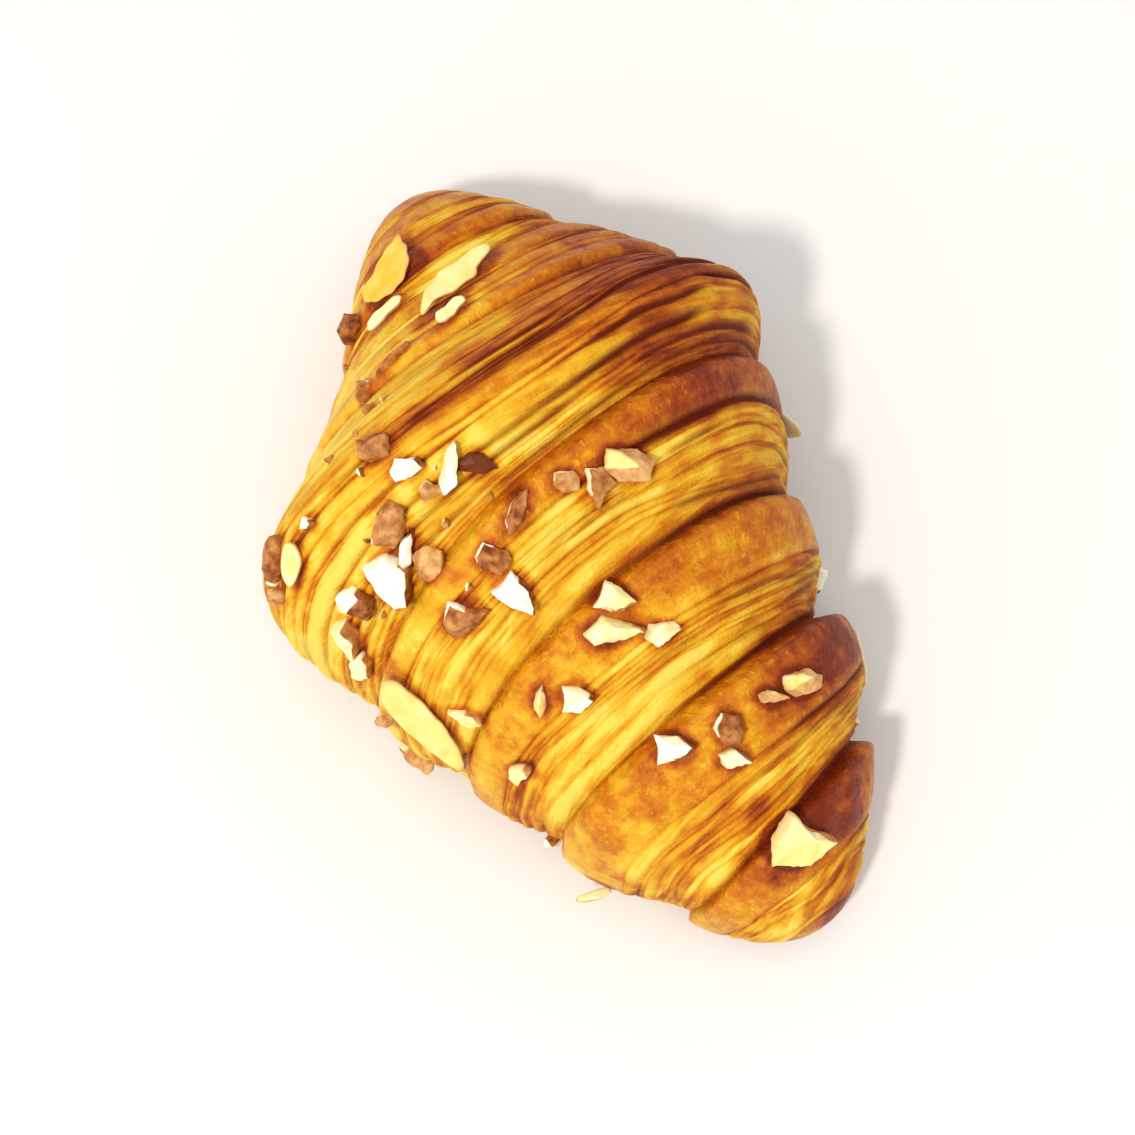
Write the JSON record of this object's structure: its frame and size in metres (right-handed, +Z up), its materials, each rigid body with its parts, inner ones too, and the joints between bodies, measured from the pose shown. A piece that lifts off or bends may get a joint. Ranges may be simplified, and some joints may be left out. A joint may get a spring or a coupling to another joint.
{
  "type": "almond croissant",
  "caption": "Baked croissant of rolled laminated dough, tapering to two blunt horns, with sliced and chopped almonds stuck to its crust.",
  "frame": {"origin": "middle of the flat underside's box, on the surface that the croissant rests on", "axes": "+X along the roll towards its long tapering horn, +Y towards its far side, +Z up"},
  "size_m": [0.14, 0.0941, 0.0635],
  "materials": {
    "crust": "baked golden-brown laminated pastry with a thin egg-wash gloss, yellow cut layers and cream and brown almond pieces"
  },
  "bodies": {
    "root": {"croissant": "crust"}
  },
  "joints": []
}
